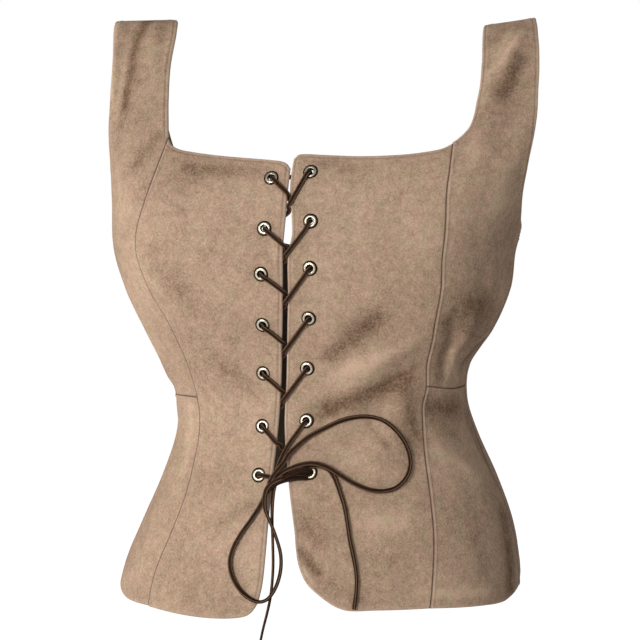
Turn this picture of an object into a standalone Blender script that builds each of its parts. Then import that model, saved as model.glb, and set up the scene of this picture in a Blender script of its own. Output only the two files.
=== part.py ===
"""Laced suede vest in its worn form: princess-seamed fronts, straps, two-piece back, eyelets and a cord lace.

Every cloth piece is cut on one form: a stack of rounded sections from the shoulder seam to the hem. A place
on the cloth is told by its angle round the body and its drop, the way down the strap from the shoulder seam.
Left is -X, right is +X, and the front faces -Y. The origin is where the shoulders hold the vest, midway
between the straps. Tables are in millimetres and degrees, the model is in metres.
"""

import math

import bmesh
import bpy
from mathutils import Matrix, Vector

MM = 0.001

# Driving dimensions in millimetres
SUEDE_THICKNESS = 2.0
SEAM_GAP = 0.34
ROW_PITCH = 19.0
SHOULDER_ROWS = [4.0, 9.0, 15.0, 24.0]
UNDERARM_ROWS = [168.0, 180.0, 190.0, 198.0, 203.0, 206.0]
CENTRE_COLUMNS = 7
SIDE_COLUMNS = 8
BACK_COLUMNS = 6
FLANGE_RADIUS = 5.6
BARREL_RADIUS = 2.9
BORE_RADIUS = 2.4
ROLL_RADIUS = 4.4
METAL_THICKNESS = 0.5
EYELET_CLEARANCE = 0.45
HOLE_CLEARANCE = 0.3
LACE_DIAMETER = 3.0
SHARP_ANGLE = 45.0

# drop down the strap, height, half width left, half width right, depth front, depth back, squareness
SECTIONS = (
    (-12, -2, 194, 203, -12, -12, 0.10),
    (0, 0, 194, 204, 0, 0, 0.10),
    (12, -2, 193, 206, 12, 12, 0.10),
    (28, -11, 192, 210, 25, 25, 0.10),
    (54, -35, 188, 216, 43, 42, 0.10),
    (83, -65, 185, 217, 60, 58, 0.10),
    (118, -100, 183, 210, 84, 76, 0.09),
    (148, -130, 182, 199, 102, 90, 0.07),
    (178, -160, 182, 186, 115, 99, 0.05),
    (218, -200, 182, 173, 121, 103, 0.035),
    (253, -235, 172, 167, 117, 100, 0.03),
    (288, -270, 154, 152, 107, 94, 0.03),
    (318, -300, 138, 132, 99, 90, 0.03),
    (348, -330, 126, 129, 96, 89, 0.03),
    (378, -360, 125, 138, 99, 94, 0.03),
    (418, -400, 138, 156, 108, 105, 0.03),
    (458, -440, 156, 170, 117, 115, 0.03),
    (498, -480, 173, 176, 124, 122, 0.03),
    (538, -520, 180, 176, 129, 127, 0.03),
    (578, -560, 183, 178, 132, 129, 0.03),
)

# Drop, how much lower the right shoulder hangs
RIGHT_SHOULDER_LOWER = ((0, 7), (28, 7), (54, 6), (83, 4), (118, 1.5), (148, 0), (578, 0))

# Largest folds: angle and drop at each end, half width, lift of the cloth
FOLDS = (
    (19, 425, 40, 352, 14, 3.0),
    (16, 396, 36, 332, 9, -2.5),
    (15, 366, 32, 300, 12, 2.2),
    (42, 30, 36, 105, 9, 3.0),
    (50, 50, 44, 120, 10, -3.0),
    (-46, 20, -54, 110, 9, -3.0),
    (62, 262, 66, 322, 10, 2.5),
    (80, 230, 70, 300, 10, -2.5),
    (-60, 250, -66, 330, 12, 2.5),
    (-38, 150, -38, 240, 32, 5.0),
    (38, 150, 38, 240, 32, 5.0),
    (160, 280, 140, 352, 12, 2.5),
    (-156, 290, -136, 350, 12, 2.5),
)
FOLD_MM_PER_DEGREE = 2.5

# Lines that bound the pieces: drop, angle
STRAP_INNER_LEFT = ((0, -30.5), (12, -29.3), (31, -28.6), (60, -28.9), (90, -28), (111, -27.3), (125, -27.2))
STRAP_INNER_RIGHT = ((0, 33), (38, 32.2), (62, 31.9), (83, 32.2), (101, 32.8), (114, 33), (124, 32.7), (130, 31))
ARMHOLE_LEFT = ((0, -62), (30, -60), (60, -60), (90, -63), (120, -68), (150, -73), (176, -77), (190, -80),
                (199, -83.5), (204, -87), (206, -90))
ARMHOLE_RIGHT = ((0, 53.5), (20, 53), (40, 52), (61, 51.4), (83, 51.7), (115, 57.3), (135, 61.7), (158, 67.6),
                 (176, 73), (190, 78), (199, 82.5), (204, 86.5), (206, 90))
PRINCESS_LEFT = ((125, -27.2), (140, -29.6), (157, -33), (181, -37.7), (202, -41.5), (222, -43.3), (245, -42.2),
                 (280, -40.6), (310, -40.4), (345, -40.6), (390, -39.6), (429, -38.3), (461, -39.1),
                 (492, -40.6), (523, -41.2))
PRINCESS_RIGHT = ((130, 31), (158, 35.1), (193, 40.2), (213, 42.2), (246, 43.6), (284, 45.8), (331, 53),
                  (351, 50.5), (384, 46.5), (405, 44.4), (430, 42.8), (454, 41.6), (480, 40.3), (514, 38.9))
FRONT_EDGE_LEFT = ((140, 0.1), (187, 0.1), (213, -0.3), (259, -0.9), (320, -3.2), (366, -4.9), (411, -5.5),
                   (464, -5.4), (484, -5.4), (497, -6.0), (509, -7.3))
FRONT_EDGE_RIGHT = ((140, 1.3), (187, 1.3), (213, 0.9), (259, 0.4), (320, -1.6), (365, -2.7), (411, -0.3),
                    (432, 0.9), (453, 2.1), (469, 3.0), (484, 4.9), (496, 7.5), (506, 11.3))
# Share of the way from front edge to princess seam, drop
NECK_LEFT = ((0, 152), (0.03, 148), (0.08, 146), (0.34, 143), (0.53, 141), (0.74, 138), (0.85, 136),
             (0.94, 131), (1, 125))
NECK_RIGHT = ((0, 145), (0.03, 141.5), (0.08, 140.5), (0.16, 141), (0.38, 142), (0.63, 141), (0.8, 139),
              (0.92, 136), (1, 130))
HEM_CENTRE_LEFT = ((0, 508), (0.06, 518), (0.15, 523), (0.35, 526), (0.6, 526), (1, 523))
HEM_CENTRE_RIGHT = ((0, 506), (0.1, 512), (0.22, 515.5), (0.45, 515), (1, 514))
# Share of the way from princess seam to side seam, drop
HEM_SIDE_LEFT = ((0, 523), (0.3, 522), (0.6, 517), (1, 511))
HEM_SIDE_RIGHT = ((0, 514), (0.4, 516), (0.7, 517), (1, 511))
WAIST_LEFT = ((0, 345), (0.5, 345), (1, 343))
WAIST_RIGHT = ((0, 333), (0.5, 337), (1, 337))
# Share of the way from centre back to the strap's inner edge, drop
NECK_BACK = ((0, 222), (0.3, 219), (0.55, 209), (0.75, 194), (0.9, 174), (1, 148))
# Back, angle from the centre back. Strap's inner edge and, below the neckline, the line of its grid
BACK_INNER_LEFT = ((0, 30.5), (14, 33.5), (40, 40), (75, 44.5), (110, 46.5), (148, 46), (220, 42), (345, 39),
                   (512, 40))
BACK_INNER_RIGHT = ((0, 33.5), (20, 31), (60, 28.3), (100, 27), (148, 29), (220, 35), (345, 38), (512, 40))
BACK_ARMHOLE_LEFT = ((0, 62), (20, 64), (60, 69.5), (90, 72.5), (120, 75), (150, 77.5), (176, 80.5), (190, 83),
                     (199, 85.5), (204, 88), (206, 90))
BACK_ARMHOLE_RIGHT = ((0, 53), (12, 51), (24, 48.8), (36, 46.8), (48, 45.2), (72, 43.3), (96, 43.5), (120, 45.2),
                      (144, 48.3), (168, 54), (180, 58.5), (190, 64), (198, 71.5), (203, 80), (206, 90))
# Angle from the centre back, drop
HEM_BACK = ((0, 438), (32, 439), (45, 446), (58, 461), (70, 481), (81, 500), (90, 511))

# Eyelets from the neckline down: distance from the front edge, drop
EYELETS_LEFT = ((15.8, 159), (17, 200.5), (18.5, 238), (17, 280.5), (15.8, 322), (13.7, 367), (12.3, 407.5))
EYELETS_RIGHT = ((14.6, 154), (16.7, 194.5), (19.3, 233), (18.5, 274.5), (18.5, 317), (18.4, 361.5), (17.6, 404))
EYELET_ROWS = len(EYELETS_LEFT)
EYELET_SIDES = 10
PUNCH_LENGTH = 8.0
# Radius, face of the suede (1 outside, -1 inside), height from that face
EYELET_PROFILE = (
    (BORE_RADIUS, -1, -METAL_THICKNESS),
    (BORE_RADIUS, 1, 0.3),
    (BORE_RADIUS + 0.7, 1, 0.9),
    (FLANGE_RADIUS - 0.6, 1, 0.7),
    (FLANGE_RADIUS, 1, 0),
    (BARREL_RADIUS, 1, 0),
    (BARREL_RADIUS, -1, 0),
    (ROLL_RADIUS, -1, 0),
    (ROLL_RADIUS - 0.4, -1, -METAL_THICKNESS),
)

CORD_STEP = 9.0 * MM
BORE_LIFTS = (-1.6, 1.8)
LAST_BORE_LIFTS = (-1.6, 3.0)
GAP_LIFT = 1.2
HALF_RUN_GAP = 0.2
LACE_LIFT = 2.95
# Lace over and under the suede: distance from the eyelet's axis, lift
LACE_OVER_FLANGE = ((2.4, 4.3), (5.5, 4.2), (8.8, 3.1))
LACE_UNDER_ROLL = ((8.5, -3.1), (5.0, -4.0), (2.0, -3.9))
STRAND_DROP = {-1: 13.0, 1: 26.0}
GAP_DROP = {-1: 2.0, 1: 2.5}
PAST_EDGE = 1.06

# Bow: the knot's ends as angle and drop, its half sizes, and routes as angle, drop, lift
KNOT_ENDS = ((-4.6, 411), (6.9, 398))
KNOT_HALF_SIZE = (17.5, 5.6, 4.2)
KNOT_LIFT = 6.2
LAST_STRAND_ROUTE = ((1.4, 374, 3.0), (-0.8, 383, 3.4), (-2.4, 392, 4.2), (-3.2, 399, 5.2))
LOOP_RIGHT_ROUTE = ((-1.2, 397, 6.4), (-0.4, 391, 5.6), (1.8, 384, 4.4), (5.7, 375, 3.6), (11.4, 367, 3.4),
                    (16.8, 361, 3.4), (22.5, 358, 3.4), (28.1, 358.5, 3.4), (32.5, 363, 3.4), (36.4, 373, 3.4),
                    (38.7, 385, 3.4), (38.4, 397, 3.4), (35.7, 408, 3.4), (31.6, 416, 3.4), (27.1, 419, 3.5),
                    (23.0, 418, 3.7), (19.0, 413.5, 4.2), (15.0, 406.5, 4.9), (11.3, 400, 6.0), (7.7, 397.4, 6.5))
LOOP_LEFT_ROUTE = ((-5.6, 414.5, 6.6), (-6.8, 420, 6.6), (-7.3, 427, 6.6), (-6.8, 434, 6.4), (-5.7, 440, 5.9),
                   (-3.9, 448, 5.0), (-2.1, 460, 4.0), (-0.9, 472, 3.4), (-0.8, 485, 3.2), (-1.8, 498, 3.2),
                   (-3.6, 507.5, 3.2), (-5.6, 510.5, 3.3), (-8.0, 508.5, 3.3), (-10.8, 502, 3.3),
                   (-13.2, 492, 3.3), (-14.6, 481, 3.3), (-14.5, 470, 3.3), (-13.2, 459, 3.3), (-10.9, 447, 3.3),
                   (-8.9, 436, 3.2), (-7.7, 429, 3.2), (-6.6, 422, 3.2), (-5.4, 417, 3.2))
TAIL_RIGHT_ROUTE = ((8.2, 401, 3.3), (11.0, 403.5, 3.3), (13.3, 411, 3.3), (14.7, 422, 3.3), (15.6, 433, 3.3),
                    (16.1, 446, 3.3), (16.5, 458, 3.3), (17.3, 471, 3.3), (18.0, 484, 3.3), (18.1, 497, 3.3),
                    (17.7, 512, 3.3))
TAIL_LEFT_ROUTE = ((-3.6, 416, 2.2), (-3.9, 424, 1.6), (-4.1, 435, 1.0), (-3.9, 452, 0.6), (-3.4, 466, 0.2),
                   (-3.1, 480, -0.2), (-3.1, 495, -0.6), (-3.4, 508, -0.6), (-4.0, 520, -0.4), (-4.8, 533, 0.0),
                   (-5.6, 549, 0.4))


def column(table, index):
    """Smooth curve through one column of a table, read by the table's first column."""
    keys = [row[0] for row in table]
    values = [row[index] for row in table]
    last = len(keys) - 1
    slopes = []
    for i in range(last + 1):
        before, after = max(i - 1, 0), min(i + 1, last)
        slopes.append((values[after] - values[before]) / (keys[after] - keys[before]))

    def read(key):
        key = min(max(key, keys[0]), keys[-1])
        i = 0
        while i < last - 1 and key > keys[i + 1]:
            i += 1
        step = keys[i + 1] - keys[i]
        t = (key - keys[i]) / step
        ease = t * t * (3 - 2 * t)
        start = t * (1 - t) * (1 - t) * step * slopes[i]
        end = t * t * (1 - t) * step * slopes[i + 1]
        return values[i] + (values[i + 1] - values[i]) * ease + start - end

    return read


HEIGHT, LEFT_WIDTH, RIGHT_WIDTH, FRONT_DEPTH, BACK_DEPTH, SQUARENESS = (
    column(SECTIONS, index) for index in range(1, 7)
)
RIGHT_LOWER = column(RIGHT_SHOULDER_LOWER, 1)


def form(angle, drop):
    """Point of the body form in millimetres, before the cloth's folds."""
    turn = math.radians(angle)
    square = SQUARENESS(drop)
    across = (math.sin(turn) + square * math.sin(3 * turn)) / (1 - square)
    ahead = (math.cos(turn) - square * math.cos(3 * turn)) / (1 - square)
    width = RIGHT_WIDTH(drop) if across > 0 else LEFT_WIDTH(drop)
    depth = FRONT_DEPTH(drop) if ahead > 0 else BACK_DEPTH(drop)
    right_share = min(max(math.sin(turn) / 0.5, 0), 1)
    lower = RIGHT_LOWER(drop) * right_share * right_share * (3 - 2 * right_share)
    return Vector((across * width, -ahead * depth, HEIGHT(drop) - lower))


def outward(angle, drop):
    """Unit vector that points out of the form."""
    along = form(angle, drop + 0.5) - form(angle, drop - 0.5)
    around = form(angle + 0.2, drop) - form(angle - 0.2, drop)
    return along.cross(around).normalized()


def turned(angle):
    """The same angle between -180 and 180."""
    return (angle + 180) % 360 - 180


def fold_lift(angle, drop):
    """How far the folds push the cloth out at a place."""
    lift = 0.0
    here = Vector((turned(angle) * FOLD_MM_PER_DEGREE, drop))
    for angle_a, drop_a, angle_b, drop_b, half_width, height in FOLDS:
        a = Vector((angle_a * FOLD_MM_PER_DEGREE, drop_a))
        b = Vector((angle_b * FOLD_MM_PER_DEGREE, drop_b))
        share = (here - a).dot(b - a) / (b - a).length_squared
        away = (here - a.lerp(b, min(max(share, 0), 1))).length
        lift += height * math.exp(-((away / half_width) ** 2))
    return lift


def cloth(angle, drop, lift=0.0):
    """Point in metres at a lift in millimetres from the middle of the suede."""
    return (form(angle, drop) + outward(angle, drop) * (fold_lift(angle, drop) + lift)) * MM


def degrees_for(length, angle, drop):
    """Angle that spans a short length round the form."""
    return length / (form(angle + 0.5, drop) - form(angle - 0.5, drop)).length


def line(table):
    """Smooth curve through the two columns of a boundary table."""
    return column(table, 1)


FRONT_EDGE = {-1: line(FRONT_EDGE_LEFT), 1: line(FRONT_EDGE_RIGHT)}
PRINCESS = {-1: line(PRINCESS_LEFT), 1: line(PRINCESS_RIGHT)}
STRAP_INNER = {-1: line(STRAP_INNER_LEFT), 1: line(STRAP_INNER_RIGHT)}
ARMHOLE = {-1: line(ARMHOLE_LEFT), 1: line(ARMHOLE_RIGHT)}
BACK_INNER = {-1: line(BACK_INNER_LEFT), 1: line(BACK_INNER_RIGHT)}
BACK_ARMHOLE = {-1: line(BACK_ARMHOLE_LEFT), 1: line(BACK_ARMHOLE_RIGHT)}
NECK = {-1: line(NECK_LEFT), 1: line(NECK_RIGHT)}
HEM_CENTRE = {-1: line(HEM_CENTRE_LEFT), 1: line(HEM_CENTRE_RIGHT)}
HEM_SIDE = {-1: line(HEM_SIDE_LEFT), 1: line(HEM_SIDE_RIGHT)}
WAIST = {-1: line(WAIST_LEFT), 1: line(WAIST_RIGHT)}
BACK_NECK = line(NECK_BACK)
BACK_HEM = line(HEM_BACK)
EYELETS = {-1: EYELETS_LEFT, 1: EYELETS_RIGHT}
SIDE_NAMES = {-1: "left", 1: "right"}
HALF_GAP = SEAM_GAP / 2
SIDE_SEAM = 90.0


def moved(edge, length):
    """An edge moved round the form by a length, towards larger angles when it is positive."""
    return lambda drop: edge(drop) + degrees_for(length, edge(drop), drop)


def steps(start, end):
    """Drops from start to end, about a row pitch apart."""
    count = max(1, round((end - start) / ROW_PITCH))
    return [start + (end - start) * i / count for i in range(count + 1)]


def shares(drops):
    """The drops as shares of the way from the first to the last."""
    return [(drop - drops[0]) / (drops[-1] - drops[0]) for drop in drops]


def lay_grid(cut, columns, rows, start, end, top, bottom):
    """One grid of a flat cut: angle across and drop down, between two edges, a top line and a bottom line."""
    made = bmesh.ops.create_grid(cut, x_segments=columns, y_segments=len(rows) - 1, size=0.5)
    for vert in made["verts"]:
        across = vert.co.x + 0.5
        down = rows[round((0.5 - vert.co.y) * (len(rows) - 1))]
        drop = top(across) * (1 - down) + bottom(across) * down
        angle = start(drop) * (1 - across) + end(drop) * across
        vert.co = (angle, -drop, 0)


def put_on_form(name, cut, material):
    """Give a flat cut its thickness, put it on the form and make it an object."""
    bmesh.ops.remove_doubles(cut, verts=cut.verts, dist=0.001)
    outside = bmesh.ops.extrude_face_region(cut, geom=cut.faces[:])["geom"]
    bmesh.ops.translate(cut, verts=[g for g in outside if isinstance(g, bmesh.types.BMVert)], vec=(0, 0, 1))
    bmesh.ops.recalc_face_normals(cut, faces=cut.faces)
    for vert in cut.verts:
        vert.co = cloth(vert.co.x, -vert.co.y, (vert.co.z - 0.5) * SUEDE_THICKNESS)
    return make_object(name, cut, material)


def make_object(name, shape, material):
    mesh = bpy.data.meshes.new(name)
    shape.to_mesh(mesh)
    shape.free()
    mesh.shade_smooth()
    mesh.set_sharp_from_angle(angle=math.radians(SHARP_ANGLE))
    mesh.materials.append(material)
    piece = bpy.data.objects.new(name, mesh)
    bpy.context.scene.collection.objects.link(piece)
    piece.parent = vest
    return piece


def make_material(name, colour, roughness, metallic):
    material = bpy.data.materials.new(name)
    material.use_nodes = True
    shader = material.node_tree.nodes["Principled BSDF"]
    shader.inputs["Base Color"].default_value = (*colour, 1)
    shader.inputs["Roughness"].default_value = roughness
    shader.inputs["Metallic"].default_value = metallic
    return material


def face_the_right_way(start, end, side):
    """Edges in order of growing angle: a left piece runs from its outer edge to its inner one."""
    return (start, end) if side > 0 else (end, start)


def by_share(curve, side):
    """A line told by the share from the inner edge, read by the share across in growing angle."""
    return curve if side > 0 else lambda across: curve(1 - across)


def body_rows(side):
    """Drops of the rows along the princess seam: strap, bodice, skirt."""
    corner = NECK[side](1)
    waist = WAIST[side](0)
    strap = [HALF_GAP] + SHOULDER_ROWS + steps(SHOULDER_ROWS[-1], corner)[1:]
    bodice = steps(corner, UNDERARM_ROWS[0]) + UNDERARM_ROWS[1:] + steps(UNDERARM_ROWS[-1], waist)[1:]
    return strap, bodice, steps(waist, HEM_CENTRE[side](1))


def front_centre(side):
    """Laced centre front: front edge to princess seam, neckline to hem."""
    _, bodice, skirt = body_rows(side)
    start, end = face_the_right_way(FRONT_EDGE[side], moved(PRINCESS[side], -side * HALF_GAP), side)
    cut = bmesh.new()
    rows = shares(bodice + skirt[1:])
    lay_grid(cut, CENTRE_COLUMNS, rows, start, end, by_share(NECK[side], side), by_share(HEM_CENTRE[side], side))
    return put_on_form("front_centre_" + SIDE_NAMES[side], cut, suede)


def front_side_inner(side):
    """Strap's inner edge above the neckline corner, princess seam below it."""
    corner = NECK[side](1)
    seam = moved(PRINCESS[side], side * HALF_GAP)
    return lambda drop: STRAP_INNER[side](drop) if drop < corner else seam(drop)


def front_side_upper(side):
    """Side front above the waist seam, with the strap in one."""
    strap, bodice, _ = body_rows(side)
    drops = strap + bodice[1:]
    outer = moved(ARMHOLE[side], -side * HALF_GAP)
    start, end = face_the_right_way(front_side_inner(side), outer, side)
    waist = by_share(WAIST[side], side)
    cut = bmesh.new()
    rows = shares(drops[:-1] + [drops[-1] - HALF_GAP])
    lay_grid(cut, SIDE_COLUMNS, rows, start, end, lambda across: HALF_GAP, lambda across: waist(across) - HALF_GAP)
    return put_on_form("front_side_upper_" + SIDE_NAMES[side], cut, suede)


def front_side_lower(side):
    """Side front below the waist seam."""
    drops = body_rows(side)[2]
    inner = moved(PRINCESS[side], side * HALF_GAP)
    outer = moved(ARMHOLE[side], -side * HALF_GAP)
    start, end = face_the_right_way(inner, outer, side)
    waist = by_share(WAIST[side], side)
    cut = bmesh.new()
    rows = shares([drops[0] + HALF_GAP] + drops[1:])
    lay_grid(cut, SIDE_COLUMNS, rows, start, end, lambda across: waist(across) + HALF_GAP,
             by_share(HEM_SIDE[side], side))
    return put_on_form("front_side_lower_" + SIDE_NAMES[side], cut, suede)


def back(side):
    """Half back: centre back seam to side seam, with its strap."""
    corner = BACK_NECK(1)
    strap = [HALF_GAP] + SHOULDER_ROWS + steps(SHOULDER_ROWS[-1], corner)[1:]
    body = steps(corner, UNDERARM_ROWS[0]) + UNDERARM_ROWS[1:] + steps(UNDERARM_ROWS[-1], BACK_HEM(SIDE_SEAM))[1:]
    centre_seam = moved(lambda drop: side * 180.0, -side * HALF_GAP)
    strap_line = lambda drop: side * (180.0 - BACK_INNER[side](drop))
    outer = moved(lambda drop: side * (180.0 - BACK_ARMHOLE[side](drop)), side * HALF_GAP)
    cut = bmesh.new()
    start, end = face_the_right_way(strap_line, centre_seam, side)
    from_centre = lambda across: 1 - across if side > 0 else across
    grid_line = BACK_INNER[side](BACK_HEM(0))
    lay_grid(cut, BACK_COLUMNS, shares(body), start, end, lambda across: BACK_NECK(from_centre(across)),
             lambda across: BACK_HEM(grid_line * from_centre(across)))
    start, end = face_the_right_way(outer, strap_line, side)
    lay_grid(cut, SIDE_COLUMNS, shares(strap), start, end, lambda across: HALF_GAP, lambda across: corner)
    lay_grid(cut, SIDE_COLUMNS, shares(body), start, end, lambda across: corner,
             lambda across: BACK_HEM(grid_line + (SIDE_SEAM - grid_line) * from_centre(across)))
    return put_on_form("back_" + SIDE_NAMES[side], cut, suede)


def place_on(side, from_edge, drop):
    """Angle of a place at a length from a front edge."""
    return moved(FRONT_EDGE[side], side * from_edge)(drop)


def frame_at(angle, drop):
    """Turn and place that bring +Z to the outward direction of the folded cloth at a place."""
    along = cloth(angle, drop + 3) - cloth(angle, drop - 3)
    around = cloth(angle + 1, drop) - cloth(angle - 1, drop)
    up = along.cross(around).normalized()
    turn = up.to_track_quat("Z", "Y").to_matrix().to_4x4()
    return Matrix.Translation(cloth(angle, drop)) @ turn


def eyelet(side, row):
    """Turned brass eyelet: crowned flange outside, barrel, roll inside."""
    half = SUEDE_THICKNESS / 2 + EYELET_CLEARANCE
    shape = bmesh.new()
    ring = [shape.verts.new((radius * MM, 0, (face * half + height) * MM)) for radius, face, height in EYELET_PROFILE]
    edges = [shape.edges.new((ring[i - 1], ring[i])) for i in range(len(ring))]
    bmesh.ops.spin(shape, geom=ring + edges, cent=(0, 0, 0), axis=(0, 0, 1), angle=2 * math.pi,
                   steps=EYELET_SIDES, use_merge=True)
    bmesh.ops.recalc_face_normals(shape, faces=shape.faces)
    from_edge, drop = EYELETS[side][row]
    bmesh.ops.transform(shape, matrix=frame_at(place_on(side, from_edge, drop), drop), verts=shape.verts)
    return make_object(f"eyelet_{SIDE_NAMES[side]}_{row + 1}", shape, brass)


def punch(panel, side, row):
    """Hole through the suede for an eyelet's barrel."""
    shape = bmesh.new()
    radius = (BARREL_RADIUS + HOLE_CLEARANCE) * MM
    bmesh.ops.create_cone(shape, cap_ends=True, segments=EYELET_SIDES, radius1=radius, radius2=radius,
                          depth=PUNCH_LENGTH * MM)
    from_edge, drop = EYELETS[side][row]
    bmesh.ops.transform(shape, matrix=frame_at(place_on(side, from_edge, drop), drop), verts=shape.verts)
    cutter = make_object(f"punch_{SIDE_NAMES[side]}_{row + 1}", shape, brass)
    cutter.hide_render = True
    cutter.display_type = "WIRE"
    hole = panel.modifiers.new(f"eyelet_hole_{row + 1}", "BOOLEAN")
    hole.operation = "DIFFERENCE"
    hole.solver = "EXACT"
    hole.object = cutter


def smooth_route(points):
    """Points along a smooth curve through a route's own points, at most a cord step apart."""
    lengths = [(b - a).length for a, b in zip(points, points[1:])]
    heads = [(points[1] - points[0]) / lengths[0]]
    for i in range(1, len(points) - 1):
        heads.append((points[i + 1] - points[i - 1]) / (lengths[i - 1] + lengths[i]))
    heads.append((points[-1] - points[-2]) / lengths[-1])
    smooth = [points[0]]
    for a, b, length, head_a, head_b in zip(points, points[1:], lengths, heads, heads[1:]):
        parts = max(1, math.ceil(length / CORD_STEP))
        for part in range(1, parts + 1):
            t = part / parts
            ease = t * t * (3 - 2 * t)
            out_of_a = head_a * (length * t * (1 - t) ** 2)
            into_b = head_b * (length * t * t * (1 - t))
            smooth.append(a.lerp(b, ease) + out_of_a - into_b)
    return smooth


def cord(name, points):
    """Round cord as a curve object through points in metres."""
    curve = bpy.data.curves.new(name, "CURVE")
    curve.dimensions = "3D"
    curve.bevel_depth = LACE_DIAMETER / 2 * MM
    curve.bevel_resolution = 2
    curve.use_fill_caps = True
    spline = curve.splines.new("POLY")
    spline.points.add(len(points) - 1)
    for target, point in zip(spline.points, points):
        target.co = (*point, 1)
    curve.materials.append(lace_material)
    piece = bpy.data.objects.new(name, curve)
    bpy.context.scene.collection.objects.link(piece)
    piece.parent = vest
    return piece


def laced(side, from_edge, drop, lift):
    """Place of the lace at a length from a front edge."""
    return cloth(place_on(side, from_edge, drop), drop, lift)


def in_gap(drop, lift):
    """Place of the lace midway between the front edges."""
    return cloth((FRONT_EDGE[-1](drop) + FRONT_EDGE[1](drop)) / 2, drop, lift)


def strand_out(side, row, run_down):
    """Lace from an eyelet's bore over its flange and just past the front edge, run_down lower."""
    from_edge, drop = EYELETS[side][row]
    way = math.hypot(from_edge, run_down)
    places = [laced(side, from_edge, drop, lift) for lift in BORE_LIFTS]
    for away, lift in LACE_OVER_FLANGE + ((way * PAST_EDGE, LACE_LIFT),):
        share = away / way
        places.append(laced(side, from_edge * (1 - share), drop + run_down * share, lift))
    return places


def strand_in(side, row, edge_drop):
    """Lace from behind a front edge, just past it, to an eyelet's bore."""
    from_edge, drop = EYELETS[side][row]
    way = math.hypot(from_edge, drop - edge_drop)
    places = []
    for away, lift in ((way * PAST_EDGE, -LACE_LIFT),) + LACE_UNDER_ROLL:
        share = away / way
        places.append(laced(side, from_edge * (1 - share), drop + (edge_drop - drop) * share, lift))
    return places


def lace_run(first_side, last_row):
    """Lace from the middle of the top row, criss-cross down to the last row that it comes up through."""
    top_drop = (EYELETS[-1][0][1] + EYELETS[1][0][1]) / 2
    route = [in_gap(top_drop, -LACE_LIFT) + Vector((first_side * HALF_RUN_GAP * MM, 0, 0))]
    route += strand_in(first_side, 0, top_drop)[1:]
    side = first_side
    for row in range(last_row):
        down = STRAND_DROP[side]
        edge_drop = EYELETS[side][row][1] + down
        through = GAP_DROP[side]
        route += strand_out(side, row, down)
        route += [in_gap(edge_drop + through, GAP_LIFT), in_gap(edge_drop + 2 * through, -GAP_LIFT)]
        route += strand_in(-side, row + 1, edge_drop + 3 * through)
        side = -side
    return route, side


def on_route(route):
    """Places in metres of a route told as angle, drop, lift."""
    return [cloth(*place) for place in route]


def knot():
    """Bow knot: the long wrapped hitch, as one rounded solid in front of the last right eyelet."""
    shape = bmesh.new()
    bmesh.ops.create_uvsphere(shape, u_segments=14, v_segments=8, radius=MM)
    a, b = (cloth(*end, KNOT_LIFT) for end in KNOT_ENDS)
    middle = (KNOT_ENDS[0][0] + KNOT_ENDS[1][0]) / 2, (KNOT_ENDS[0][1] + KNOT_ENDS[1][1]) / 2
    up = outward(*middle)
    across = (b - a).normalized()
    over = up.cross(across).normalized()
    turn = Matrix((across, over, across.cross(over))).transposed().to_4x4()
    size = Matrix.Diagonal((*KNOT_HALF_SIZE, 1))
    bmesh.ops.transform(shape, matrix=Matrix.Translation((a + b) / 2) @ turn @ size, verts=shape.verts)
    bmesh.ops.recalc_face_normals(shape, faces=shape.faces)
    return make_object("lace_knot", shape, lace_material)


for old in list(bpy.data.objects):
    bpy.data.objects.remove(old, do_unlink=True)

vest = bpy.data.objects.new("vest", None)
bpy.context.scene.collection.objects.link(vest)
suede = make_material("suede", (0.40, 0.27, 0.19), 0.9, 0.0)
brass = make_material("antique_brass", (0.42, 0.33, 0.20), 0.35, 1.0)
lace_material = make_material("lace_leather", (0.05, 0.025, 0.016), 0.6, 0.0)

for side in (-1, 1):
    front = front_centre(side)
    for row in range(EYELET_ROWS):
        punch(front, side, row)
        eyelet(side, row)
    front_side_upper(side)
    front_side_lower(side)
    back(side)

for first_side, name in ((1, "lace_run_right"), (-1, "lace_run_left")):
    last_row = EYELET_ROWS - 1 if first_side > 0 else EYELET_ROWS - 2
    route, side = lace_run(first_side, last_row)
    if first_side > 0:
        route += [laced(side, *EYELETS[side][last_row], lift) for lift in LAST_BORE_LIFTS]
    else:
        route += strand_out(side, last_row, STRAND_DROP[side])[:-1] + on_route(LAST_STRAND_ROUTE)
    cord(name, smooth_route(route))

knot()
for name, route in (("lace_loop_right", LOOP_RIGHT_ROUTE), ("lace_loop_left", LOOP_LEFT_ROUTE),
                    ("lace_tail_right", TAIL_RIGHT_ROUTE), ("lace_tail_left", TAIL_LEFT_ROUTE)):
    cord(name, smooth_route(on_route(route)))
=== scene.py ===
"""Laced suede vest: how it looks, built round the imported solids.

Everything is in metres in the frame of the solids: +Z is up, the laced front faces -Y and +X is the right
side. A place on the cloth is told by its angle round the body in degrees, 0 at centre front and 90 at the
right side seam, and by its drop, the way down from the shoulder seam in millimetres.
"""

import math

import bmesh
import bpy
import numpy as np
from mathutils import Matrix, Vector


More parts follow.
